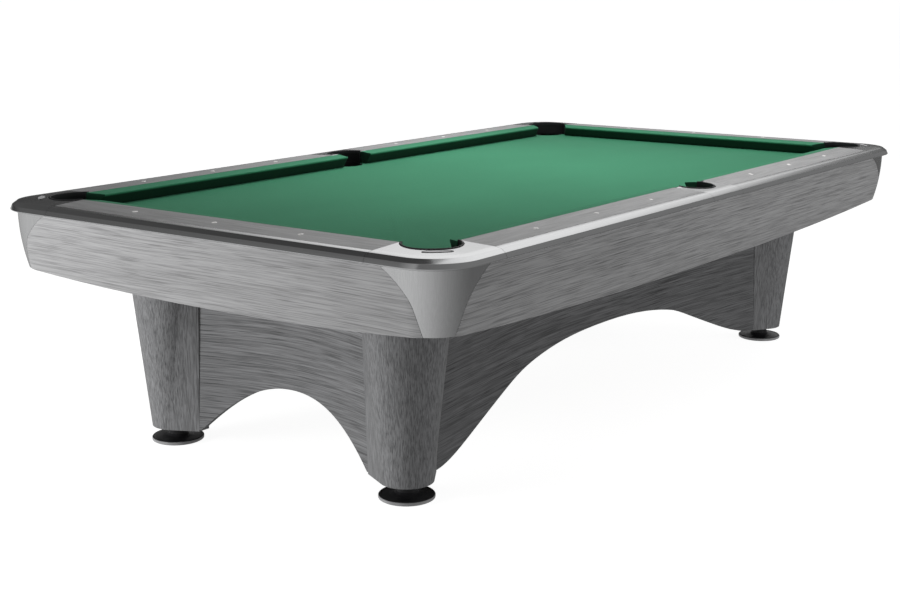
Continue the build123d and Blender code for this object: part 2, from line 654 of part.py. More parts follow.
def rail_bolts():
    """Bolts that clamp slate, cloth and rail together from below."""
    head = 6.5
    bolts = []
    for x, y in bolt_places():
        hexagon = extrude(RegularPolygon(8.5, 6), amount=head)
        bolt = Pos(x, y, SLATE_BASE - head) * hexagon
        bolts.append(bolt + disc(x, y, BOLT_R, SLATE_BASE - head, BOLT_TOP))
    nodes["rail_bolts"] = Compound(children=bolts)


bed()
rails()
cushions()
trims()
castings()
liners()
aprons()
skirts()
subframe()
legs()
base_panels()
feet()
rail_bolts()

for node, shape in nodes.items():
    export_step(shape, f"parts/{node}.step")
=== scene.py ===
from math import cos, pi, radians, sin

import bpy
import numpy as np
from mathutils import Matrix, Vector


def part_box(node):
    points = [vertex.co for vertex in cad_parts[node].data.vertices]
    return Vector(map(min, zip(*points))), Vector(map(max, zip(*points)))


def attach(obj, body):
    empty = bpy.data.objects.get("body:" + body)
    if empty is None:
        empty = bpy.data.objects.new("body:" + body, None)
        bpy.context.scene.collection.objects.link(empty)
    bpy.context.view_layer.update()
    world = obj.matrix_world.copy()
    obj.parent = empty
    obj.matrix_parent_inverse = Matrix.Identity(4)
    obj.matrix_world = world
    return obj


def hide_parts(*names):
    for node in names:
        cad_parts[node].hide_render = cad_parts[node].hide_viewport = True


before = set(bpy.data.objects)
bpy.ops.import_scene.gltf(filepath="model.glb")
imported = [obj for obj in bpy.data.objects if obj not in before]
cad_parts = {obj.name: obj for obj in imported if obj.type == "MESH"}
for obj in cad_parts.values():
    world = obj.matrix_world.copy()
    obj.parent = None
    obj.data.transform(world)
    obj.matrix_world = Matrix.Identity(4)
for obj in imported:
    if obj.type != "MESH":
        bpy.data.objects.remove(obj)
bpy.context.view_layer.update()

bl_info = {
    "name": "Pool table",
    "version": (1, 0, 0),
    "blender": (4, 5, 0),
    "location": "View3D > Sidebar > Pool Table",
    "description": "Cloth, cushions, castings, trim, cabinet and finishes of a nine-foot pool table",
    "category": "Object",
}

CORNERS = {"front_left": (-1, -1), "front_right": (1, -1), "rear_left": (-1, 1), "rear_right": (1, 1)}
SIDES = {"front": -1, "rear": 1}
ENDS = {"left": -1, "right": 1}
NODE_BOX = {name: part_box(name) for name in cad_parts}
BED = NODE_BOX["bed_cloth"][1].z
NOSE_X, NOSE_Y = NODE_BOX["right_end_cushion"][0].x, NODE_BOX["rear_right_cushion"][0].y
CREST = NODE_BOX["rear_right_cushion"][1].z
RAIL_OUT = NODE_BOX["rear_right_rail"][1].y - NOSE_Y
BACK = NODE_BOX["rear_right_cushion"][1].y - NOSE_Y


# Sizes and colours a user would change


def length(name, text, default, low=0.0, high=10.0):
    """A size in metres, shown in the sidebar."""
    return bpy.props.FloatProperty(
        name=name, description=text, default=default, min=low, max=high, unit="LENGTH", precision=4
    )


def colour(name, text, default):
    """A linear colour, shown in the sidebar."""
    return bpy.props.FloatVectorProperty(
        name=name, description=text, default=default, min=0.0, max=1.0, size=3, subtype="COLOR"
    )


class PoolTableSizes(bpy.types.PropertyGroup):
    """Sizes of the pieces that are laid over the frame."""

    rail_edge: length("Rail edge height", "Floor to the outer edge of the rail laminate", 0.7405)
    pocket_x: length("Corner pocket x", "Corner mouth centre beyond the end nose line", 0.012)
    pocket_y: length("Corner pocket y", "Corner mouth centre beyond the side nose line", 0.016)
    pocket_radius: length("Corner mouth radius", "Radius of the opening in a corner casting", 0.079)
    middle_set: length("Middle pocket setback", "Middle mouth centre beyond the side nose line", 0.068)
    middle_radius: length("Middle mouth radius", "Radius of the opening in a middle casting", 0.064)
    drop_set: length("Slate hole setback", "Corner hole centre beyond both nose lines", 0.039)
    drop_radius: length("Slate hole radius", "Radius of the corner hole in the slate", 0.072)
    middle_drop: length("Middle slate hole radius", "Radius of the middle hole in the slate", 0.062)
    corner_centre: length("Corner centre", "Centre of the rounded corner beyond both nose lines", 0.049)
    side_joint: length("Side joint", "Middle of the table to the corner casting's side joint", 1.208)
    end_joint: length("End joint", "Middle of the table to the corner casting's end joint", 0.579)
    middle_joint: length("Middle joint", "Middle of the table to the middle casting's joint", 0.097)
    nose_height: length("Nose height", "Cloth to the cushion nose", 0.0375)
    nose_round: length("Nose radius", "Rounding of the covered cushion nose", 0.0028)
    sight_radius: length("Sight radius", "Radius of a sight in the rail top", 0.0075)
    badge_length: length("Badge half length", "Half the length of the blank oval plate", 0.039)
    badge_width: length("Badge half width", "Half the width of the blank oval plate", 0.011)


class PoolTableColours(bpy.types.PropertyGroup):
    """Base colours of the finishes."""

    cloth: colour("Cloth", "Worsted cloth on bed and cushions", (0.052, 0.235, 0.130))
    laminate: colour("Rail laminate", "Wood laminate on the rail tops", (0.300, 0.300, 0.303))
    apron: colour("Apron wood", "Wood of the four aprons", (0.300, 0.300, 0.303))
    base: colour("Base wood", "Dark wood of legs and base panels", (0.130, 0.131, 0.134))
    metal: colour("Aluminium", "Castings and edge trim", (0.74, 0.745, 0.75))
    liner: colour("Pocket rubber", "Moulded pocket liners", (0.010, 0.010, 0.011))
    pearl: colour("Pearl", "Sights in the rail tops", (0.92, 0.91, 0.89))
    timber: colour("Timber", "Hardwood inside the cabinet", (0.42, 0.27, 0.14))


# Surfaces


def surface(name, points, wrap_rows=False, wrap_columns=False, ends=False, sharp=35.0):
    """One mesh from grids of points.

    Each grid is rows x columns x 3 and each small square between neighbours becomes a face, facing
    along (column direction) x (row direction). A wrapped direction joins its last line to its first,
    and ends closes the first and last columns of a wrapped section with flat faces.
    """
    grids = points if isinstance(points, list) else [points]
    verts, faces, base = [], [], 0
    for grid in grids:
        rows, cols = grid.shape[:2]
        a, b = np.meshgrid(
            np.arange(rows if wrap_rows else rows - 1),
            np.arange(cols if wrap_columns else cols - 1),
            indexing="ij",
        )

        def at(i, j):
            """Number of the point in row i and column j."""
            return base + (i % rows) * cols + j % cols

        quads = np.stack([at(a, b), at(a, b + 1), at(a + 1, b + 1), at(a + 1, b)], -1).reshape(-1, 4)
        faces += quads.tolist()
        if ends:
            ring = base + np.arange(rows) * cols
            faces += [ring.tolist(), (ring[::-1] + cols - 1).tolist()]
        verts.append(grid.reshape(-1, 3))
        base += rows * cols
    mesh = bpy.data.meshes.new(name)
    mesh.from_pydata(np.concatenate(verts), [], faces)
    mesh.validate()
    mesh.shade_smooth()
    mesh.set_sharp_from_angle(angle=radians(sharp))
    piece = bpy.data.objects.new(name, mesh)
    bpy.context.scene.collection.objects.link(piece)
    return piece


def quarter(grid, sx, sy):
    """A grid made for the +X +Y quarter moved to another quarter: signs flipped, and the column
    order turned round where a single flip would leave the faces inside out."""
    moved = grid * np.array([sx, sy, 1.0])
    return moved[:, ::-1] if sx * sy < 0 else moved


def rounded(corners, radius, steps=4):
    """A polygon (distance out, height) whose corners become arcs.

    At each corner the arc starts and ends at the distance radius / tan(half angle) along the two
    sides, capped at 45% of the shorter side, and is drawn as a quadratic curve through the corner.
    """
    p = np.asarray(corners, float)
    back, ahead = np.roll(p, 1, 0) - p, np.roll(p, -1, 0) - p
    lb, la = np.linalg.norm(back, axis=1), np.linalg.norm(ahead, axis=1)
    cosine = np.clip((back * ahead).sum(1) / (lb * la), -0.999, 0.999)
    reach = np.minimum(radius / np.tan(np.arccos(cosine) / 2), 0.45 * np.minimum(lb, la))
    start, stop = p + back * (reach / lb)[:, None], p + ahead * (reach / la)[:, None]
    t = np.linspace(0, 1, steps + 1)[None, :, None]
    curve = (1 - t) ** 2 * start[:, None] + 2 * t * (1 - t) * p[:, None] + t**2 * stop[:, None]
    return curve.reshape(-1, 2)


def rail_height(x, y, edge):
    """Height of the sloping rail top above a plan point.

    Distance out from the nose line is taken square to the rails, and from the corner's centre
    inside the rounded corner; height falls evenly from the crest to the rail edge.
    """
    sizes = bpy.context.scene.pool_table_sizes
    ax, ay = np.abs(x) - NOSE_X - sizes.corner_centre, np.abs(y) - NOSE_Y - sizes.corner_centre
    round_part = np.hypot(np.maximum(ax, 0), np.maximum(ay, 0))
    out = sizes.corner_centre + np.where((ax > 0) & (ay > 0), round_part, np.maximum(ax, ay))
    return CREST - (CREST - edge) * (out - BACK) / (RAIL_OUT - BACK)


def cover(node_names, material):
    """Gives CAD pieces their finish."""
    for name in node_names:
        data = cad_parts[name].data
        data.materials.clear()
        data.materials.append(material)


def finish(piece, material, body, slot, *nodes):
    """Gives a new piece its finish and its body, and hides the CAD nodes it stands for; slot is not used."""
    piece.data.materials.append(material)
    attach(piece, body)
    if nodes:
        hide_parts(*nodes)
    return piece


# Finishes


class Recipe:
    """One procedural material; its patterns read the piece's object coordinates in metres."""

    def __init__(self, name, roughness, metallic=0.0):
        """A new material with its gloss and the coordinates that its patterns use."""
        self.material = bpy.data.materials.new(name)
        self.material.use_nodes = True
        self.nodes = self.material.node_tree.nodes
        self.links = self.material.node_tree.links
        self.shader = self.nodes["Principled BSDF"]
        self.shader.inputs["Roughness"].default_value = roughness
        self.shader.inputs["Metallic"].default_value = metallic
        self.coords = self.nodes.new("ShaderNodeTexCoord").outputs["Object"]

    def place(self, scale, turn=(0, 0, 0)):
        """Object coordinates turned and stretched."""
        node = self.nodes.new("ShaderNodeMapping")
        node.inputs["Scale"].default_value = scale
        node.inputs["Rotation"].default_value = turn
        self.links.new(self.coords, node.inputs["Vector"])
        return node.outputs["Vector"]

    def noise(self, vector, scale=1.0, detail=4.0, rough=0.55, distortion=0.0):
        """Soft noise along a vector."""
        node = self.nodes.new("ShaderNodeTexNoise")
        settings = {"Scale": scale, "Detail": detail, "Roughness": rough, "Distortion": distortion}
        for key, value in settings.items():
            node.inputs[key].default_value = value
        self.links.new(vector, node.inputs["Vector"])
        return node.outputs["Fac"]

    def wave(self, vector, scale, distortion=0.0, detail=0.0):
        """Bands across the vector's X."""
        node = self.nodes.new("ShaderNodeTexWave")
        for key, value in {"Scale": scale, "Distortion": distortion, "Detail": detail}.items():
            node.inputs[key].default_value = value
        self.links.new(vector, node.inputs["Vector"])
        return node.outputs["Fac"]

    def ramp(self, factor, *stops):
        """Colour or grey value by factor; a stop is (position, colour)."""
        node = self.nodes.new("ShaderNodeValToRGB")
        marks = node.color_ramp.elements
        while len(marks) < len(stops):
            marks.new(0.5)
        for mark, (place, tint) in zip(marks, stops):
            mark.position = place
            tint = (tint,) * 3 if isinstance(tint, float) else tuple(tint)
            mark.color = (*tint, 1.0)
        self.links.new(factor, node.inputs["Fac"])
        return node.outputs["Color"]

    def blend(self, how, amount, first, second):
        """Two colours mixed by a fixed or linked amount."""
        node = self.nodes.new("ShaderNodeMix")
        node.data_type, node.blend_type = "RGBA", how
        if isinstance(amount, float):
            node.inputs[0].default_value = amount
        else:
            self.links.new(amount, node.inputs[0])
        self.links.new(first, node.inputs[6])
        self.links.new(second, node.inputs[7])
        return node.outputs[2]

    def stretch(self, factor, low, high):
        """A 0 to 1 factor mapped to low to high."""
        node = self.nodes.new("ShaderNodeMapRange")
        node.inputs["To Min"].default_value = low
        node.inputs["To Max"].default_value = high
        self.links.new(factor, node.inputs["Value"])
        return node.outputs["Result"]

    def colour(self, value):
        """Links the base colour."""
        self.links.new(value, self.shader.inputs["Base Color"])

    def rough(self, value):
        """Links the roughness."""
        self.links.new(value, self.shader.inputs["Roughness"])

    def relief(self, *layers):
        """Stacks bumps; a layer is (height, strength, depth in metres)."""
        normal = None
        for height, strength, depth in layers:
            node = self.nodes.new("ShaderNodeBump")
            node.inputs["Strength"].default_value = strength
            node.inputs["Distance"].default_value = depth
            self.links.new(height, node.inputs["Height"])
            if normal:
                self.links.new(normal, node.inputs["Normal"])
            normal = node.outputs["Normal"]
        self.links.new(normal, self.shader.inputs["Normal"])


def tint(base, factor):
    """A colour made lighter or darker."""
    return tuple(min(1.0, c * factor) for c in base)


def wood(name, base, lengthwise, contrast=0.35, gloss=0.36):
    """Straight open grain along one or two axes: slow figure, long streaks, short dark vessels.

    Each layer is noise stretched along the axes named in lengthwise. The streaks are about 3 mm
    apart and the vessels 2 mm, and a slow noise bends all of them by up to 5 mm.
    """
    look = Recipe(name, gloss)
    bend = look.nodes.new("ShaderNodeTexNoise")
    bend.inputs["Scale"].default_value, bend.inputs["Detail"].default_value = 1.2, 1.0
    look.links.new(look.coords, bend.inputs["Vector"])
    shift = look.nodes.new("ShaderNodeVectorMath")
    shift.operation = "MULTIPLY_ADD"
    shift.inputs[1].default_value = tuple(0.0 if axis in lengthwise else 0.02 for axis in "xyz")
    look.links.new(bend.outputs["Color"], shift.inputs[0])
    look.links.new(look.coords, shift.inputs[2])
    look.coords = shift.outputs["Vector"]

    def stretched(slow, fast):
        """Coordinates stretched slow along the grain and fast across it."""
        return look.place(tuple(slow if axis in lengthwise else fast for axis in "xyz"))

    figure = look.noise(stretched(0.6, 14.0), 1.0, 1.0, 0.5)
    streak = look.noise(stretched(4.0, 360.0), 1.0, 2.0, 0.6)
    vessel = look.noise(stretched(9.0, 560.0), 1.0, 2.0, 0.5)
    body = look.ramp(figure, (0.25, tint(base, 1 - contrast * 0.14)), (0.75, tint(base, 1 + contrast * 0.14)))
    lines = look.ramp(streak, (0.32, 1 - contrast), (0.50, 1.0), (0.70, 1 + contrast * 0.7))
    pores = look.ramp(vessel, (0.36, 1 - contrast * 1.1), (0.47, 1.0))
    look.colour(look.blend("MULTIPLY", 1.0, look.blend("MULTIPLY", 1.0, body, lines), pores))
    look.rough(look.stretch(streak, gloss + 0.10, gloss - 0.04))
    look.relief((streak, 0.25, 0.0003), (pores, 0.3, 0.0002))
    return look.material


def worsted(name, base, painted_shade_top=0.0, depth=1.0):
    """Napless worsted cloth: a fine diagonal twill, small slubs and broad shade drift.

    On a cushion the cloth below the given height, under the nose, is darker: painted shade
    for the undercut face, which faces down under the overhang.
    """
    look = Recipe(name, 0.86)
    drift = look.noise(look.place((1.4, 2.2, 2.2)), 1.0, 3.0, 0.5)
    slub = look.noise(look.place((160, 900, 900)), 1.0, 3.0, 0.65)
    twill = look.wave(look.place((1, 1, 1), (0, 0, radians(38))), 420.0, 1.2, 1.0)
    body = look.ramp(drift, (0.3, tint(base, 0.93)), (0.7, tint(base, 1.06)))
    threads = look.ramp(slub, (0.3, 0.86), (0.7, 1.0))
    cords = look.ramp(twill, (0.0, 0.88), (1.0, 1.0))
    shade = look.blend("MULTIPLY", 1.0, look.blend("MULTIPLY", 1.0, body, threads), cords)
    if painted_shade_top:
        # Painted shade: the cloth is darkened below the nose height, standing in for the shadow on the
        # undercut face.
        split = look.nodes.new("ShaderNodeSeparateXYZ")
        look.links.new(look.coords, split.inputs["Vector"])
        level = look.nodes.new("ShaderNodeMapRange")
        level.inputs["From Min"].default_value = painted_shade_top - 0.004
        level.inputs["From Max"].default_value = painted_shade_top + 0.0005
        look.links.new(split.outputs["Z"], level.inputs["Value"])
        painted_nose_shade = look.ramp(level.outputs["Result"], (0.0, depth), (1.0, 1.0))
        shade = look.blend("MULTIPLY", 1.0, shade, painted_nose_shade)
    look.colour(shade)
    look.relief((twill, 0.35, 0.00025), (slub, 0.25, 0.0002))
    look.shader.inputs["Sheen Weight"].default_value = 0.05
    look.shader.inputs["Sheen Roughness"].default_value = 0.45
    look.shader.inputs["Sheen Tint"].default_value = (0.55, 0.8, 0.68, 1.0)
    look.shader.inputs["Specular IOR Level"].default_value = 0.25
    return look.material


def brushed(name, base, along, gloss=0.24):
    """Satin aluminium: fine scratches along one axis and faint smears, mostly in its gloss."""
    look = Recipe(name, gloss, 1.0)
    axes = {"x": (5, 900, 900), "y": (900, 5, 900), "z": (420, 420, 6)}[along]
    lines = look.noise(look.place(axes), 1.0, 2.0, 0.5)
    smear = look.noise(look.coords, 6.0, 3.0, 0.55, 0.3)
    look.colour(look.ramp(lines, (0.25, tint(base, 0.94)), (0.75, tint(base, 1.03))))
    marks = look.stretch(lines, gloss - 0.03, gloss + 0.05)
    look.rough(look.blend("MIX", 0.5, marks, look.stretch(smear, gloss - 0.03, gloss + 0.05)))
    look.relief((lines, 0.01, 0.00001))
    return look.material


def moulded(name, base, grain=900.0, gloss=0.55, depth=0.0002):
    """Moulded rubber or plastic: fine leathery grain and slight dulling where it is handled."""
    look = Recipe(name, gloss)
    fine = look.noise(look.coords, grain, 3.0, 0.6)
    worn = look.noise(look.coords, 14.0, 4.0, 0.6)
    look.colour(look.ramp(worn, (0.3, tint(base, 0.85)), (0.7, tint(base, 1.35))))
    look.rough(look.stretch(worn, gloss - 0.08, gloss + 0.12))
    look.relief((fine, 0.3, depth))
    return look.material


def slate(name):
    """Honed slate: layered blue grey with fine mineral specks."""
    look = Recipe(name, 0.7)
    layer = look.noise(look.place((3, 3, 160)), 1.0, 5.0, 0.6, 0.6)
    speck = look.noise(look.coords, 800.0, 2.0, 0.7)
    body = look.ramp(layer, (0.3, (0.06, 0.066, 0.073)), (0.7, (0.13, 0.137, 0.145)))
    look.colour(look.blend("MULTIPLY", 0.4, body, look.ramp(speck, (0.3, 0.7), (0.7, 1.0))))
    look.relief((layer, 0.3, 0.0005), (speck, 0.2, 0.0002))
    return look.material


def pearl(name, base):
    """Pearl inlay: cloudy nacre under a clear polish."""
    look = Recipe(name, 0.18)
    cloud = look.noise(look.coords, 180.0, 4.0, 0.6, 1.5)
    look.colour(look.ramp(cloud, (0.3, tint(base, 0.86)), (0.55, base), (0.75, (0.86, 0.80, 0.82))))
    look.shader.inputs["Coat Weight"].default_value = 0.6
    look.shader.inputs["Coat Roughness"].default_value = 0.06
    look.relief((cloud, 0.08, 0.0002))
    return look.material


def steel(name):
    """Plain turned steel with faint rings and oil darkening."""
    look = Recipe(name, 0.35, 1.0)
    ring = look.noise(look.place((60, 60, 2400)), 1.0, 3.0, 0.6)
    look.colour(look.ramp(ring, (0.3, (0.36, 0.36, 0.37)), (0.7, (0.58, 0.58, 0.59))))
    look.rough(look.stretch(ring, 0.28, 0.45))
    look.relief((ring, 0.2, 0.0001))
    return look.material


# Bed


def bed_edge(sizes):
    """Plan outline of the bed cloth, counterclockwise from the right end.

    One quarter runs up the right end, round the near half of the corner hole, along the side and
    into the middle hole as y = centre - sqrt(radius squared - x squared); signs give the rest.
    """
    half_x, half_y = NODE_BOX["bed_cloth"][1].x, NODE_BOX["bed_cloth"][1].y
    cx, cy = NOSE_X + sizes.drop_set, NOSE_Y + sizes.drop_set
    r = sizes.drop_radius
    sweep = np.linspace(radians(-56), radians(-214), 61)
    hole = np.stack([cx + r * np.cos(sweep), cy + r * np.sin(sweep)], 1)
    end = np.stack([np.full(24, half_x), np.linspace(0, hole[0, 1] - 0.012, 24)], 1)
    my, mr = NOSE_Y + sizes.middle_set, sizes.middle_drop
    arc = np.linspace(radians(-4), radians(-90), 40)
    middle = np.stack([mr * np.cos(arc), my + mr * np.sin(arc)], 1)
    side = np.stack([np.linspace(hole[-1, 0] - 0.012, mr + 0.004, 60), np.full(60, half_y)], 1)
    first = np.concatenate([end, hole, side, middle])
    second = first[::-1][1:] * [-1, 1]
    upper = np.concatenate([first, second])
    lower = upper[::-1][1:-1] * [1, -1]
    return np.concatenate([upper, lower])


class TABLE_OT_bed(bpy.types.Operator):
    """Lays the bed cloth over the slates and turns it down into the pocket holes"""

    bl_idname = "pool_table.bed"
    bl_label = "Bed cloth"

    def execute(self, context):
        """Cloth = spine + r (edge - spine) for r from 0 to 1, then a quarter round and a drop.

        The spine is the middle line of the bed; each outline point is joined to the nearest spine
        point, and the fold goes outwards by radius sin(a) and down by radius (1 - cos(a)).
        """
        sizes = context.scene.pool_table_sizes
        edge = bed_edge(sizes)
        spine_end, fold, drop = 0.635, 0.0022, 0.018
        spine = np.stack([np.clip(edge[:, 0], -spine_end, spine_end), np.zeros(len(edge))], 1)
        along = np.roll(edge, -1, 0) - np.roll(edge, 1, 0)
        out = np.stack([along[:, 1], -along[:, 0]], 1) / np.linalg.norm(along, axis=1)[:, None]
        inner = edge - out * fold
        rows = []
        for r in np.linspace(0, 1, 34):
            rows.append(np.column_stack([spine + (inner - spine) * r, np.full(len(edge), BED)]))
        for a in np.linspace(pi / 10, pi / 2, 5):
            height = np.full(len(edge), BED - fold * (1 - cos(a)))
            rows.append(np.column_stack([inner + out * fold * sin(a), height]))
        rows.append(np.column_stack([inner + out * fold, np.full(len(edge), BED - fold - drop)]))
        grid = np.stack(rows)[::-1]
        piece = surface("bed_cloth_fitted", grid, wrap_columns=True, sharp=80.0)
        piece.data.shade_flat()
        area = sum(face.area for face in piece.data.polygons)
        turn_down, corner = 0.02, NODE_BOX["bed_cloth"][1]
        width, span = 2 * (corner.y + turn_down), 2 * (corner.x + turn_down)
        slates = ["slate_left", "slate_centre", "slate_right"]
        finish(piece, bpy.data.materials["Worsted cloth"], "table", "bed_cloth", "bed_cloth")
        area = min(area, width * span)
        cover(slates, bpy.data.materials["Slate"])
        return {"FINISHED"}


# Cushions


CORNER_TIP, CORNER_HEEL, MIDDLE_TIP, MIDDLE_HEEL = 0.083, 0.050, 0.065, 0.061
END_SHRINK = 0.0008 / 0.03


def cushion_profile(sizes):
    """Closed cushion section: distance behind the nose line and height, with a rounded nose,
    a slightly crowned top, a feather groove at the rail and an undercut face."""
    nose = BED + sizes.nose_height
    top = np.linspace(0.006, BACK - 0.0035, 9)
    crown = CREST - 0.0055 * (1 - top / BACK) + 0.0006 * np.sin(pi * top / BACK) - 0.0003
    tip = [(0.0, nose - 0.0015), (0.0009, nose + 0.0014), (0.03, nose + 0.0032), (0.019, BED + 0.006)]
    nose_arc = rounded(tip, sizes.nose_round, 6)[:14]
    back = BACK - 0.0002
    groove = [(BACK - 0.0022, CREST - 0.0004), (BACK - 0.0012, CREST - 0.0014), (back, CREST - 0.0016)]
    foot = [(back, BED + 0.0006), (0.022, BED + 0.0006), (0.0195, BED + 0.004)]
    face = [(0.0165, BED + 0.0095), (0.009, BED + 0.0225), (0.0022, nose - 0.0052)]
    return np.concatenate([nose_arc, np.stack([top, crown], 1), groove, foot + face])


def cushion(sizes, nose, tips, heels, across):
    """A cushion as its section carried along the rail.

    Position along the rail = tip + (heel - tip) x depth / cushion depth at each end, so that both
    ends are mitred, and the points between are spread evenly.
    """
    profile = cushion_profile(sizes)
    depth, height = profile[:, 0], profile[:, 1]
    part = np.clip(depth / BACK, 0, 1)
    first = tips[0] + (heels[0] - tips[0]) * part
    last = tips[1] + (heels[1] - tips[1]) * part
    u = np.concatenate([[0, 0.0012], np.linspace(0.01, 0.99, 40), [0.9988, 1.0]])
    shrink = np.zeros(len(u))
    shrink[[0, -1]] = END_SHRINK
    run = first[:, None] + (last - first)[:, None] * u[None, :]
    middle = np.array([0.6 * BACK, BED + 0.024])
    d = depth[:, None] + (middle[0] - depth[:, None]) * shrink[None, :]
    z = height[:, None] + (middle[1] - height[:, None]) * shrink[None, :]
    if across == "y":
        return np.stack([run, nose + d, z], -1)
    return np.stack([nose + d, run, z], -1)[:, ::-1]


class TABLE_OT_cushions(bpy.types.Operator):
    """Builds the six cloth-covered cushions with their mitred ends"""

    bl_idname = "pool_table.cushions"
    bl_label = "Cushions"

    def execute(self, context):
        """Each cushion replaces its plain solid and fills the same space."""
        sizes = context.scene.pool_table_sizes
        cloth = bpy.data.materials["Cushion cloth with painted shade"]
        tips, heels = (MIDDLE_TIP, NOSE_X - CORNER_TIP), (MIDDLE_HEEL, NOSE_X - CORNER_HEEL)
        side = cushion(sizes, NOSE_Y, tips, heels, "y")
        tip, heel = NOSE_Y - CORNER_TIP, NOSE_Y - CORNER_HEEL
        end = cushion(sizes, NOSE_X, (-tip, tip), (-heel, heel), "x")
        pieces = {name + "_cushion": quarter(side, sx, sy) for name, (sx, sy) in CORNERS.items()}
        pieces.update({name + "_end_cushion": quarter(end, sx, 1) for name, sx in ENDS.items()})
        for name, grid in pieces.items():
            piece = surface(name + "_covered", grid, wrap_rows=True, ends=True, sharp=50.0)
            finish(piece, cloth, "table", "cushion_cloth", name)
            # The two mitred end faces take the darker facing cloth: painted shade.
            piece.data.materials.append(bpy.data.materials["Facing cloth with painted shade"])
            piece.data.polygons[-1].material_index = piece.data.polygons[-2].material_index = 1
        return {"FINISHED"}


# Castings and trim


LIP_DEPTH, PLATE = 0.0322, 0.008


def lip_profile(edge):
    """Rounded section of the lip: distance out from the rail edge and height, from the top edge
    over two facets and the beak to the underside."""
    corners = [
        (0.0, edge),
        (0.019, edge - 0.0022),
        (0.033, edge - 0.0120),
        (0.0385, edge - 0.0245),
        (0.0375, edge - 0.0260),
        (0.021, edge - LIP_DEPTH),
        (0.0, edge - LIP_DEPTH),
    ]
    return rounded(corners, 0.0016, 3)


def lip_path(sizes):
    """Plan of the rail edge round one corner, from the side joint to the end joint, with its
    outward direction at each point: straight, quarter circle, straight."""
    r = RAIL_OUT - sizes.corner_centre
    cx, cy = NOSE_X + sizes.corner_centre, NOSE_Y + sizes.corner_centre
    xs = np.linspace(sizes.side_joint, cx, 14)[:-1]
    turn = np.linspace(pi / 2, 0, 49)
    ys = np.linspace(cy, sizes.end_joint, 14)[1:]
    path = np.concatenate([
        np.stack([xs, np.full(13, cy + r)], 1),
        np.stack([cx + r * np.cos(turn), cy + r * np.sin(turn)], 1),
        np.stack([np.full(13, cx + r), ys], 1),
    ])
    round_part = np.stack([np.cos(turn), np.sin(turn)], 1)
    out = np.concatenate([np.tile([0.0, 1.0], (13, 1)), round_part, np.tile([1.0, 0.0], (13, 1))])
    return path, out


def casting(inner, path, out, edge, mouth_down=0.022, wall=0.006):
    """A pocket casting as one closed section carried along its edge.

    The plate is the straight blend from the pocket mouth to the rail edge at the rail's height, the
    lip is the profile set off along the outward direction, and the underside returns to a wall that
    hangs round the mouth with a rolled edge.
    """
    lip = lip_profile(edge)[4:-4]
    rows = []
    toward = path - inner
    toward /= np.linalg.norm(toward, axis=1)[:, None]
    roll = 0.0024
    top = rail_height(inner[:, 0], inner[:, 1], edge)
    rows.append(np.column_stack([inner, top - mouth_down]))
    for a in np.linspace(pi / 2, 0, 5):
        shift = inner + toward * roll * (1 - sin(a))
        rows.append(np.column_stack([shift, top - roll * (1 - cos(a))]))
    for r in np.linspace(0.08, 1.0, 14):
        spot = inner + (path - inner) * r
        rows.append(np.column_stack([spot, rail_height(spot[:, 0], spot[:, 1], edge)]))
    for distance, height in lip:
        rows.append(np.column_stack([path + out * distance, np.full(len(path), height)]))
    rows.append(np.column_stack([path, np.full(len(path), edge - LIP_DEPTH)]))
    rows.append(np.column_stack([path, np.full(len(path), edge - PLATE)]))
    under = inner + toward * wall
    rows.append(np.column_stack([under, rail_height(under[:, 0], under[:, 1], edge) - PLATE]))
    rows.append(np.column_stack([under, top - mouth_down]))
    return np.stack(rows)


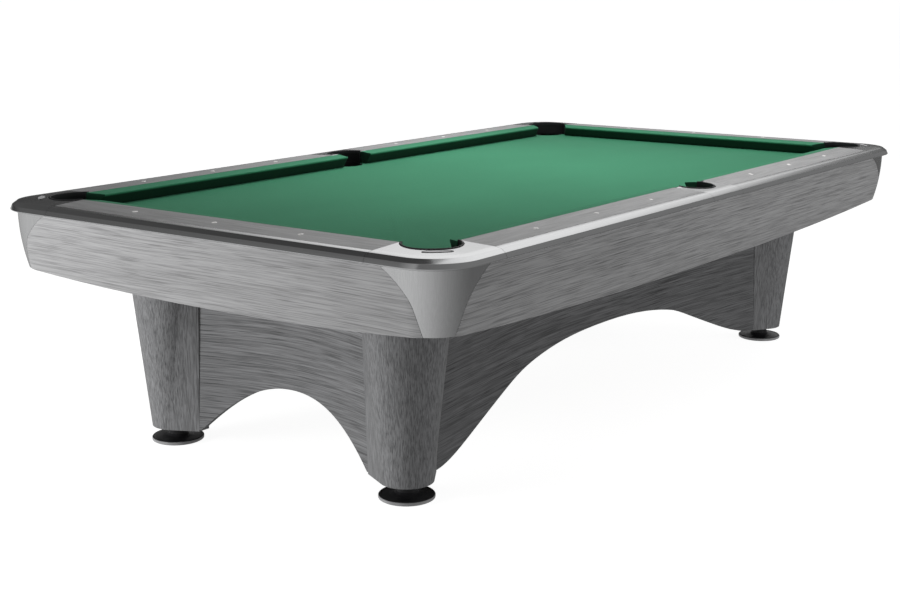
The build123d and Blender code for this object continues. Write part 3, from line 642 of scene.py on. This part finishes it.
class TABLE_OT_castings(bpy.types.Operator):
    """Builds the corner and middle pocket castings, their rolled mouths, lips and blank badges"""

    bl_idname = "pool_table.castings"
    bl_label = "Pocket castings"

    def execute(self, context):
        """Mouth points follow the pocket circle, spread to match the points of the rail edge."""
        sizes = context.scene.pool_table_sizes
        metal = bpy.data.materials["Cast plate"]
        edge = sizes.rail_edge
        path, out = lip_path(sizes)
        px, py, r = NOSE_X + sizes.pocket_x, NOSE_Y + sizes.pocket_y, sizes.pocket_radius
        a0 = pi - np.arcsin((NOSE_Y + BACK - py) / r)
        a1 = -np.arccos((NOSE_X + BACK - px) / r)
        angles = np.linspace(a0, a1, len(path))
        inner = np.stack([px + r * np.cos(angles), py + r * np.sin(angles)], 1)
        inner[0] = (sizes.side_joint, NOSE_Y + BACK)
        inner[-1] = (NOSE_X + BACK, sizes.end_joint)
        corner = casting(inner, path, out, edge)
        for name, (sx, sy) in CORNERS.items():
            grid = quarter(corner, sx, sy)
            piece = surface(name + "_casting", grid, wrap_rows=True, ends=True, sharp=28.0)
            finish(piece, metal, "table", "casting", name + "_corner_cap")
        my, mr, mj = NOSE_Y + sizes.middle_set, sizes.middle_radius, sizes.middle_joint
        xs = np.linspace(-mj, mj, 61)
        path = np.stack([xs, np.full(61, NOSE_Y + RAIL_OUT)], 1)
        out = np.tile([0.0, 1.0], (61, 1))
        a0 = pi - np.arcsin((NOSE_Y + BACK - my) / mr)
        angles = np.linspace(a0, pi - a0, 59)
        inner = np.stack([mr * np.cos(angles), my + mr * np.sin(angles)], 1)
        inner = np.concatenate([[(-mj, NOSE_Y + BACK)], inner, [(mj, NOSE_Y + BACK)]])
        middle = casting(inner, path, out, edge)
        for name, sy in SIDES.items():
            grid = quarter(middle, 1, sy)
            piece = surface(name + "_middle_casting", grid, wrap_rows=True, ends=True, sharp=28.0)
            finish(piece, metal, "table", "casting", name + "_middle_cap")
        self.badges(sizes, edge)
        return {"FINISHED"}

    def badges(self, sizes, edge):
        """Each badge: an oval whose height over the casting is a low dome inside a raised rim.

        Point = centre + a s cos(t) along the oval + b s sin(t) across it, and its height over the
        plate is a function of s alone.
        """
        t = np.linspace(0, 2 * pi, 73)[:-1]
        s = np.array([1.0, 1.0, 0.985, 0.955, 0.92, 0.90, 0.885, 0.6, 0.3, 0.02])
        rise = [-0.001, 0.0008, 0.0012, 0.00125, 0.0011, 0.0006, 0.0005, 0.0008, 0.0009, 0.0009]
        rise = np.array(rise)
        diagonal = 0.5**0.5
        reach = (sizes.pocket_radius + 0.020) * diagonal
        cx, cy = NOSE_X + sizes.pocket_x + reach, NOSE_Y + sizes.pocket_y + reach
        u, v = sizes.badge_length * s[:, None] * np.cos(t), sizes.badge_width * s[:, None] * np.sin(t)
        x, y = cx + (u + v) * diagonal, cy + (v - u) * diagonal
        grid = np.stack([x, y, rail_height(x, y, edge) + rise[:, None]], -1)
        grids = [quarter(grid, sx, sy) for sx, sy in CORNERS.values()]
        piece = surface("blank_badges", grids, wrap_columns=True, sharp=40.0)
        finish(piece, bpy.data.materials["Badge"], "table", "badge", "badges")
        piece.data.materials.append(bpy.data.materials["Badge rim"])
        row = np.arange(len(piece.data.polygons)) % ((len(s) - 1) * len(t)) // len(t)
        rim_rows = 5
        piece.data.polygons.foreach_set("material_index", (row < rim_rows).astype(np.int32))


class TABLE_OT_trims(bpy.types.Operator):
    """Builds the extruded edge trim along the rails"""

    bl_idname = "pool_table.trims"
    bl_label = "Edge trim"

    def execute(self, context):
        """Point = rail edge + profile distance outwards, at the profile's height, for each station."""
        sizes = context.scene.pool_table_sizes
        lip = lip_profile(sizes.rail_edge)
        gap = 0.0010
        xs = np.linspace(sizes.middle_joint + gap, sizes.side_joint - gap, 30)
        side = np.stack(np.broadcast_arrays(xs[None, :], NOSE_Y + RAIL_OUT + lip[:, :1], lip[:, 1:]), -1)
        ys = np.linspace(gap - sizes.end_joint, sizes.end_joint - gap, 30)
        end = np.stack(np.broadcast_arrays(NOSE_X + RAIL_OUT + lip[:, :1], ys[None, :], lip[:, 1:]), -1)
        grids = [quarter(side, sx, sy) for sx, sy in CORNERS.values()]
        piece = surface("side_edge_trim", grids, wrap_rows=True, ends=True, sharp=28.0)
        finish(piece, bpy.data.materials["Brushed trim along"], "table", "edge_trim", "side_trims")
        grids = [quarter(end, sx, 1)[:, ::-1] for sx in ENDS.values()]
        piece = surface("end_edge_trim", grids, wrap_rows=True, ends=True, sharp=28.0)
        finish(piece, bpy.data.materials["Brushed trim across"], "table", "edge_trim", "end_trims")
        return {"FINISHED"}


# Rails and sights


class TABLE_OT_rails(bpy.types.Operator):
    """Finishes the rails and sets the pearl sights"""

    bl_idname = "pool_table.rails"
    bl_label = "Rails and sights"

    def execute(self, context):
        """Sight = disc with an edge bevel and a low dome: height depends on radius only."""
        sizes = context.scene.pool_table_sizes
        cover([name + "_rail" for name in CORNERS], bpy.data.materials["Rail laminate along"])
        cover([name + "_end_rail" for name in ENDS], bpy.data.materials["Rail laminate across"])
        setback, both = 0.099, (-1, 1)
        stations = (0.337, 0.641, 0.945)
        spots = [(sx * x, sy * (NOSE_Y + setback)) for x in stations for sx in both for sy in both]
        spots += [(sx * (NOSE_X + setback), y) for y in (-0.304, 0.0, 0.304) for sx in both]
        t = np.linspace(0, 2 * pi, 41)[:-1]
        s = np.array([1.0, 1.0, 0.93, 0.7, 0.4, 0.02]) * sizes.sight_radius
        rise = np.array([-0.0015, 0.0006, 0.0011, 0.0016, 0.0019, 0.0020])
        grids = []
        for x0, y0 in spots:
            x, y = x0 + s[:, None] * np.cos(t), y0 + s[:, None] * np.sin(t)
            grids.append(np.stack([x, y, rail_height(x, y, sizes.rail_edge) + rise[:, None]], -1))
        piece = surface("pearl_sights", grids, wrap_columns=True, sharp=40.0)
        finish(piece, bpy.data.materials["Pearl"], "table", "sight", "sights")
        return {"FINISHED"}


def mouth_bead(x, y, radius, start, stop, edge):
    """The rolled top of a liner: a small closed section carried round the pocket mouth.

    Point = mouth centre + (radius - inset) x direction, at the casting's height there + rise.
    """
    inset = np.array([-0.0014, -0.0006, 0.0010, 0.0035, 0.0056, 0.0064, 0.0064, 0.0003])
    rise = np.array([-0.0008, 0.0012, 0.0022, 0.0024, 0.0017, 0.0001, -0.0100, -0.0100])
    turn = np.linspace(start, stop, 61)
    ring = np.stack([np.cos(turn), np.sin(turn)], -1)
    plan = np.array([x, y]) + (radius - inset)[:, None, None] * ring[None]
    outer = np.array([x, y]) + radius * ring
    height = rail_height(outer[:, 0], outer[:, 1], edge)[None, :] + rise[:, None]
    return np.concatenate([plan, height[..., None]], -1)


class TABLE_OT_pockets(bpy.types.Operator):
    """Finishes the rubber pocket liners and rolls their rims into the casting mouths"""

    bl_idname = "pool_table.pockets"
    bl_label = "Pocket liners"

    def execute(self, context):
        """The buckets keep the shape of their solids; the rims are new."""
        sizes = context.scene.pool_table_sizes
        rubber = bpy.data.materials["Pocket rubber"]
        names = [name + "_pocket_liner" for name in CORNERS] + [name + "_middle_liner" for name in SIDES]
        cover(names, rubber)
        px, py, r = NOSE_X + sizes.pocket_x, NOSE_Y + sizes.pocket_y, sizes.pocket_radius
        start, stop = pi - np.arcsin((NOSE_Y + BACK - py) / r), -np.arccos((NOSE_X + BACK - px) / r)
        corner = mouth_bead(px, py, r, start, stop, sizes.rail_edge)
        grids = [quarter(corner, sx, sy)[:, ::-1] for sx, sy in CORNERS.values()]
        my, mr = NOSE_Y + sizes.middle_set, sizes.middle_radius
        start = pi - np.arcsin((NOSE_Y + BACK - my) / mr)
        middle = mouth_bead(0.0, my, mr, start, pi - start, sizes.rail_edge)
        grids += [quarter(middle, 1, sy)[:, ::-1] for sy in SIDES.values()]
        piece = surface("liner_rims", grids, wrap_rows=True, ends=True, sharp=50.0)
        finish(piece, rubber, "table", "liner_rubber")
        return {"FINISHED"}


# Cabinet, base and feet


class TABLE_OT_cabinet(bpy.types.Operator):
    """Finishes the aprons and the cast corner skirts"""

    bl_idname = "pool_table.cabinet"
    bl_label = "Cabinet"

    def execute(self, context):
        """Grain runs along each apron."""
        cover([name + "_apron" for name in SIDES], bpy.data.materials["Apron wood along"])
        cover([name + "_end_apron" for name in ENDS], bpy.data.materials["Apron wood across"])
        cover([name + "_corner_skirt" for name in CORNERS], bpy.data.materials["Cast aluminium"])
        return {"FINISHED"}


class TABLE_OT_base(bpy.types.Operator):
    """Finishes the legs and the bowed base panels"""

    bl_idname = "pool_table.base"
    bl_label = "Legs and base panels"

    def execute(self, context):
        """Grain stands upright on the legs and lies along the panels."""
        # The legs and end panels take lighter copies of the base wood and the side panels a darker one:
        # painted light and painted shade.
        cover([name + "_leg" for name in CORNERS], bpy.data.materials["Leg wood painted light"])
        cover([name + "_base_panel" for name in SIDES], bpy.data.materials["Base wood along painted shade"])
        cover([name + "_end_base_panel" for name in ENDS], bpy.data.materials["Base wood across painted light"])
        return {"FINISHED"}


class TABLE_OT_feet(bpy.types.Operator):
    """Turns the levelling feet: grey rim, dished black top and hub"""

    bl_idname = "pool_table.feet"
    bl_label = "Levelling feet"

    def execute(self, context):
        """Foot = profile (radius, height) turned about the foot's axis in 96 steps."""
        t = np.linspace(0, 2 * pi, 97)[:-1]
        corners = [
            (0.0002, 0.0), (0.074, 0.0), (0.0775, 0.002), (0.078, 0.0055), (0.078, 0.009),
            (0.0755, 0.012), (0.0715, 0.0124), (0.069, 0.0112), (0.048, 0.0125), (0.034, 0.0155),
            (0.0285, 0.021), (0.027, 0.030), (0.0262, 0.0455), (0.0245, 0.047), (0.0101, 0.047),
            (0.0101, 0.0225), (0.0002, 0.0225),
        ]
        profile = rounded(corners, 0.0012, 3)
        for name in CORNERS:
            low, high = NODE_BOX[name + "_foot_pad"]
            cx, cy = (low.x + high.x) / 2, (low.y + high.y) / 2
            ring = np.stack([np.cos(t), np.sin(t)], -1)
            xy = np.array([cx, cy]) + profile[:, 0][:, None, None] * ring[None]
            z = np.broadcast_to(profile[:, 1][:, None, None], xy.shape[:2] + (1,))
            grid = np.concatenate([xy, z], -1)
            piece = surface(name + "_turned_foot", grid, wrap_rows=True, wrap_columns=True, sharp=40.0)
            finish(piece, bpy.data.materials["Foot"], name + "_pad", "foot_black", name + "_foot_pad")
        cover([name + "_foot_screw" for name in CORNERS], bpy.data.materials["Steel"])
        return {"FINISHED"}


class TABLE_OT_inside(bpy.types.Operator):
    """Finishes the timber frame, posts, plates and bolts inside the cabinet"""

    bl_idname = "pool_table.inside"
    bl_label = "Inside"

    def execute(self, context):
        """These pieces keep the shape of their solids."""
        cover(["subframe_timbers"], bpy.data.materials["Timber along"])
        cover(["leg_posts"], bpy.data.materials["Timber upright"])
        cover(["foot_plates", "rail_bolts"], bpy.data.materials["Steel"])
        return {"FINISHED"}


class TABLE_OT_finishes(bpy.types.Operator):
    """Mixes every finish used on the table"""

    bl_idname = "pool_table.finishes"
    bl_label = "Finishes"

    def execute(self, context):
        """Run before the pieces, which look their finishes up by name."""
        c = context.scene.pool_table_colours
        worsted("Worsted cloth", tuple(c.cloth))
        # The cushion cloth carries painted shade: 0.16 of its colour below 34.5 mm over the bed.
        worsted("Cushion cloth with painted shade", tuple(c.cloth), BED + 0.0345, 0.16)
        # Painted shade: the cushion end faces get the cloth at 0.22 of its colour.
        worsted("Facing cloth with painted shade", tint(c.cloth, 0.22))
        wood("Rail laminate along", tuple(c.laminate), "xz", 0.34, 0.34)
        wood("Rail laminate across", tuple(c.laminate), "yz", 0.34, 0.34)
        wood("Apron wood along", tuple(c.apron), "xy", 0.36, 0.42)
        wood("Apron wood across", tuple(c.apron), "xy", 0.27, 0.42)
        # Lit and shaded copies of the base wood: the side panels are painted darker (painted shade), the end
        # panels lighter and the legs lighter still (painted light).
        wood("Base wood along painted shade", tint(c.base, 0.9), "xy", 0.50, 0.42)
        wood("Base wood across painted light", tint(c.base, 1.22), "xy", 0.44, 0.42)
        wood("Leg wood painted light", tint(c.base, 1.4), "z", 0.42, 0.40)
        wood("Timber along", tuple(c.timber), "x", 0.25, 0.6)
        wood("Timber upright", tuple(c.timber), "z", 0.25, 0.6)
        brushed("Brushed trim along", tuple(c.metal), "x", 0.20)
        brushed("Brushed trim across", tuple(c.metal), "y", 0.20)
        brushed("Cast aluminium", tuple(c.metal), "z", 0.25)
        brushed("Cast plate", tuple(c.metal), "x", 0.17)
        moulded("Badge", (0.50, 0.50, 0.51), 900.0, 0.3)
        moulded("Badge rim", (0.02, 0.02, 0.022), 900.0, 0.4)
        moulded("Pocket rubber", tuple(c.liner), 900.0, 0.55)
        slate("Slate")
        pearl("Pearl", tuple(c.pearl))
        steel("Steel")
        self.foot()
        return {"FINISHED"}

    def foot(self):
        """Foot finish: black moulding above, grey rim below, split by height in the foot."""
        look = Recipe("Foot", 0.45)
        split = look.nodes.new("ShaderNodeSeparateXYZ")
        look.links.new(look.coords, split.inputs["Vector"])
        grain = look.noise(look.coords, 700.0, 3.0, 0.6)
        worn = look.noise(look.coords, 30.0, 3.0, 0.6)
        level = look.nodes.new("ShaderNodeMapRange")
        level.inputs["From Min"].default_value = 0.0101
        level.inputs["From Max"].default_value = 0.0105
        look.links.new(split.outputs["Z"], level.inputs["Value"])
        rim = look.ramp(worn, (0.3, (0.24, 0.24, 0.245)), (0.7, (0.33, 0.33, 0.335)))
        top = look.ramp(worn, (0.3, (0.008, 0.008, 0.009)), (0.7, (0.018, 0.018, 0.019)))
        look.colour(look.blend("MIX", level.outputs["Result"], rim, top))
        look.relief((grain, 0.25, 0.0002))


# Stage


def panel_light(name, place, aim, size, power):
    """A soft rectangular light that looks at a point."""
    data = bpy.data.lights.new(name, "AREA")
    data.shape, data.size, data.size_y = "RECTANGLE", size[0], size[1]
    data.energy = power
    lamp = bpy.data.objects.new(name, data)
    lamp.location = place
    lamp.visible_glossy = False
    lamp.rotation_euler = (Vector(aim) - Vector(place)).to_track_quat("-Z", "Y").to_euler()
    bpy.context.scene.collection.objects.link(lamp)
    return lamp


class TABLE_OT_stage(bpy.types.Operator):
    """Sets a pale floor with a curved backdrop, soft lights and the camera"""

    bl_idname = "pool_table.stage"
    bl_label = "Stage"

    def execute(self, context):
        """Backdrop = a wide dish: height is zero near the table and rises with the cube of the
        distance beyond its flat middle."""
        t = np.linspace(0, 2 * pi, 129)[:-1]
        flat, curl, below = 6.0, 0.0016, 0.0005
        radius = np.concatenate([[0.0], np.linspace(0.5, flat, 12), np.linspace(6.4, 16.0, 24)])
        rise = np.where(radius > flat, curl * (np.maximum(radius - flat, 0)) ** 3, 0.0) - below
        ring = (radius[:, None] * np.cos(t), radius[:, None] * np.sin(t), rise[:, None])
        dish = np.stack(np.broadcast_arrays(*ring), -1)
        floor = surface("studio_floor", dish, wrap_columns=True, sharp=80.0)
        look = Recipe("Studio floor", 0.8)
        cloud = look.noise(look.coords, 0.6, 3.0, 0.5)
        look.colour(look.ramp(cloud, (0.3, (0.28, 0.28, 0.28)), (0.7, (0.30, 0.30, 0.30))))
        look.shader.inputs["Emission Color"].default_value = (1.0, 1.0, 1.0, 1.0)
        look.shader.inputs["Emission Strength"].default_value = 0.93
        look.shader.inputs["Specular IOR Level"].default_value = 0.1
        floor.data.materials.append(look.material)
        floor.visible_glossy = floor.visible_diffuse = False
        panel_light("Key left", (-3.7, 1.7, 0.66), (-1.3, 0.0, 0.5), (1.6, 1.0), 100.0)
        panel_light("Top", (0.55, 0.10, 2.35), (0.50, 0.10, 0.7), (1.5, 0.8), 41.0)
        panel_light("Front fill", (1.4, -4.6, 0.9), (0.5, -0.5, 0.5), (3.4, 1.4), 100.0)
        context.scene.world = self.air()
        context.scene.view_settings.view_transform = "Standard"
        camera = bpy.data.cameras.new("Camera")
        camera.lens, camera.sensor_width = 59.57, 36.0
        camera.clip_end = 60.0
        eye = bpy.data.objects.new("Camera", camera)
        eye.location = (-4.1294, -2.7876, 1.3945)
        eye.rotation_euler = (radians(90 - 12.53), 0.0, radians(-53.83))
        context.scene.collection.objects.link(eye)
        context.scene.camera = eye
        return {"FINISHED"}

    def air(self):
        """Soft studio surroundings by direction alone.

        Above the horizon the brightness is a product: height of the direction (dark, a bright band,
        dim overhead) times its turn round the vertical (bright behind the right, dim elsewhere).
        The bright band's lower edge climbs towards the front, and a weak fill sets the least
        brightness. Below the horizon it rises from right to left.
        """
        world = bpy.data.worlds.new("Studio air")
        world.use_nodes = True
        nodes, links = world.node_tree.nodes, world.node_tree.links
        way = nodes.new("ShaderNodeTexCoord").outputs["Generated"]
        split = nodes.new("ShaderNodeSeparateXYZ")
        links.new(way, split.inputs["Vector"])
        turn = nodes.new("ShaderNodeVectorMath")
        turn.operation = "DOT_PRODUCT"
        turn.inputs[1].default_value = (-0.405, 0.295, 0.0)
        links.new(way, turn.inputs[0])
        half = nodes.new("ShaderNodeMath")
        half.inputs[1].default_value = 0.5
        links.new(turn.outputs["Value"], half.inputs[0])

        def ramp(factor, *stops):
            """Grey value by factor; a stop is (position, grey)."""
            node = nodes.new("ShaderNodeValToRGB")
            marks = node.color_ramp.elements
            while len(marks) < len(stops):
                marks.new(0.5)
            for mark, (place, grey) in zip(marks, stops):
                mark.position = place
                mark.color = (grey, grey, grey, 1.0)
            links.new(factor, node.inputs["Fac"])
            return node.outputs["Color"]

        round_about = nodes.new("ShaderNodeMath")
        round_about.operation = "ARCTAN2"
        links.new(split.outputs["Y"], round_about.inputs[0])
        links.new(split.outputs["X"], round_about.inputs[1])
        share = nodes.new("ShaderNodeMapRange")
        share.inputs["From Min"].default_value, share.inputs["From Max"].default_value = -pi, pi
        links.new(round_about.outputs["Value"], share.inputs["Value"])
        lift = nodes.new("ShaderNodeMapRange")
        for key, value in (("From Min", -0.60), ("From Max", 0.42), ("To Min", 0.61), ("To Max", 0.0)):
            lift.inputs[key].default_value = value
        links.new(round_about.outputs["Value"], lift.inputs["Value"])
        raised = nodes.new("ShaderNodeMath")
        raised.operation = "SUBTRACT"
        links.new(split.outputs["Z"], raised.inputs[0])
        links.new(lift.outputs["Result"], raised.inputs[1])
        up = [(0.02, 0.06), (0.145, 0.06), (0.20, 0.70), (0.28, 1.0), (0.62, 0.90), (0.80, 0.30), (1.0, 0.30)]
        height = ramp(raised.outputs["Value"], *up)
        dim = [(0.642, 0.07), (0.861, 0.12), (1.0, 0.40)]
        side = ramp(share.outputs["Result"], (0.0, 0.40), (0.333, 0.30), (0.458, 1.0), (0.611, 1.0), *dim)
        both = nodes.new("ShaderNodeMix")
        both.data_type, both.blend_type = "RGBA", "MULTIPLY"
        both.inputs[0].default_value = 1.0
        links.new(height, both.inputs[6])
        links.new(side, both.inputs[7])
        fill = [(0.0, 0.14), (0.30, 0.20), (0.47, 0.20), (0.54, 0.06), (0.75, 0.05), (1.0, 0.14)]
        least = ramp(share.outputs["Result"], *fill)
        most = nodes.new("ShaderNodeMix")
        most.data_type, most.blend_type = "RGBA", "LIGHTEN"
        most.inputs[0].default_value = 1.0
        links.new(both.outputs[2], most.inputs[6])
        links.new(least, most.inputs[7])
        sky = most.outputs[2]
        ground = ramp(half.outputs["Value"], (0.0, 0.12), (0.45, 0.30), (1.0, 0.62))
        where = ramp(split.outputs["Z"], (0.0, 0.0), (0.03, 1.0))
        mix = nodes.new("ShaderNodeMix")
        mix.data_type = "RGBA"
        links.new(where, mix.inputs[0])
        links.new(ground, mix.inputs[6])
        links.new(sky, mix.inputs[7])
        links.new(mix.outputs[2], nodes["Background"].inputs["Color"])
        return world


class TABLE_PT_panel(bpy.types.Panel):
    """Sidebar list of the table's sizes, colours and building steps"""

    bl_idname = "TABLE_PT_panel"
    bl_label = "Pool Table"
    bl_space_type = "VIEW_3D"
    bl_region_type = "UI"
    bl_category = "Pool Table"

    def draw(self, context):
        """Properties first, then one button for each step."""
        for group in (context.scene.pool_table_sizes, context.scene.pool_table_colours):
            box = self.layout.box()
            for key in group.__annotations__:
                box.prop(group, key)
        for step in STEPS:
            self.layout.operator(step.bl_idname)


STEPS = (
    TABLE_OT_finishes,
    TABLE_OT_bed,
    TABLE_OT_cushions,
    TABLE_OT_rails,
    TABLE_OT_castings,
    TABLE_OT_trims,
    TABLE_OT_pockets,
    TABLE_OT_cabinet,
    TABLE_OT_base,
    TABLE_OT_feet,
    TABLE_OT_inside,
    TABLE_OT_stage,
)
CLASSES = (PoolTableSizes, PoolTableColours, *STEPS, TABLE_PT_panel)


def register():
    """Adds the classes and the two property groups."""
    for item in CLASSES:
        bpy.utils.register_class(item)
    bpy.types.Scene.pool_table_sizes = bpy.props.PointerProperty(type=PoolTableSizes)
    bpy.types.Scene.pool_table_colours = bpy.props.PointerProperty(type=PoolTableColours)


def unregister():
    """Removes them again."""
    del bpy.types.Scene.pool_table_colours
    del bpy.types.Scene.pool_table_sizes
    for item in reversed(CLASSES):
        bpy.utils.unregister_class(item)


def main():
    """Registers the add-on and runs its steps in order."""
    register()
    for step in STEPS:
        group, name = step.bl_idname.split(".")
        getattr(getattr(bpy.ops, group), name)()


if __name__ == "__main__":
    main()
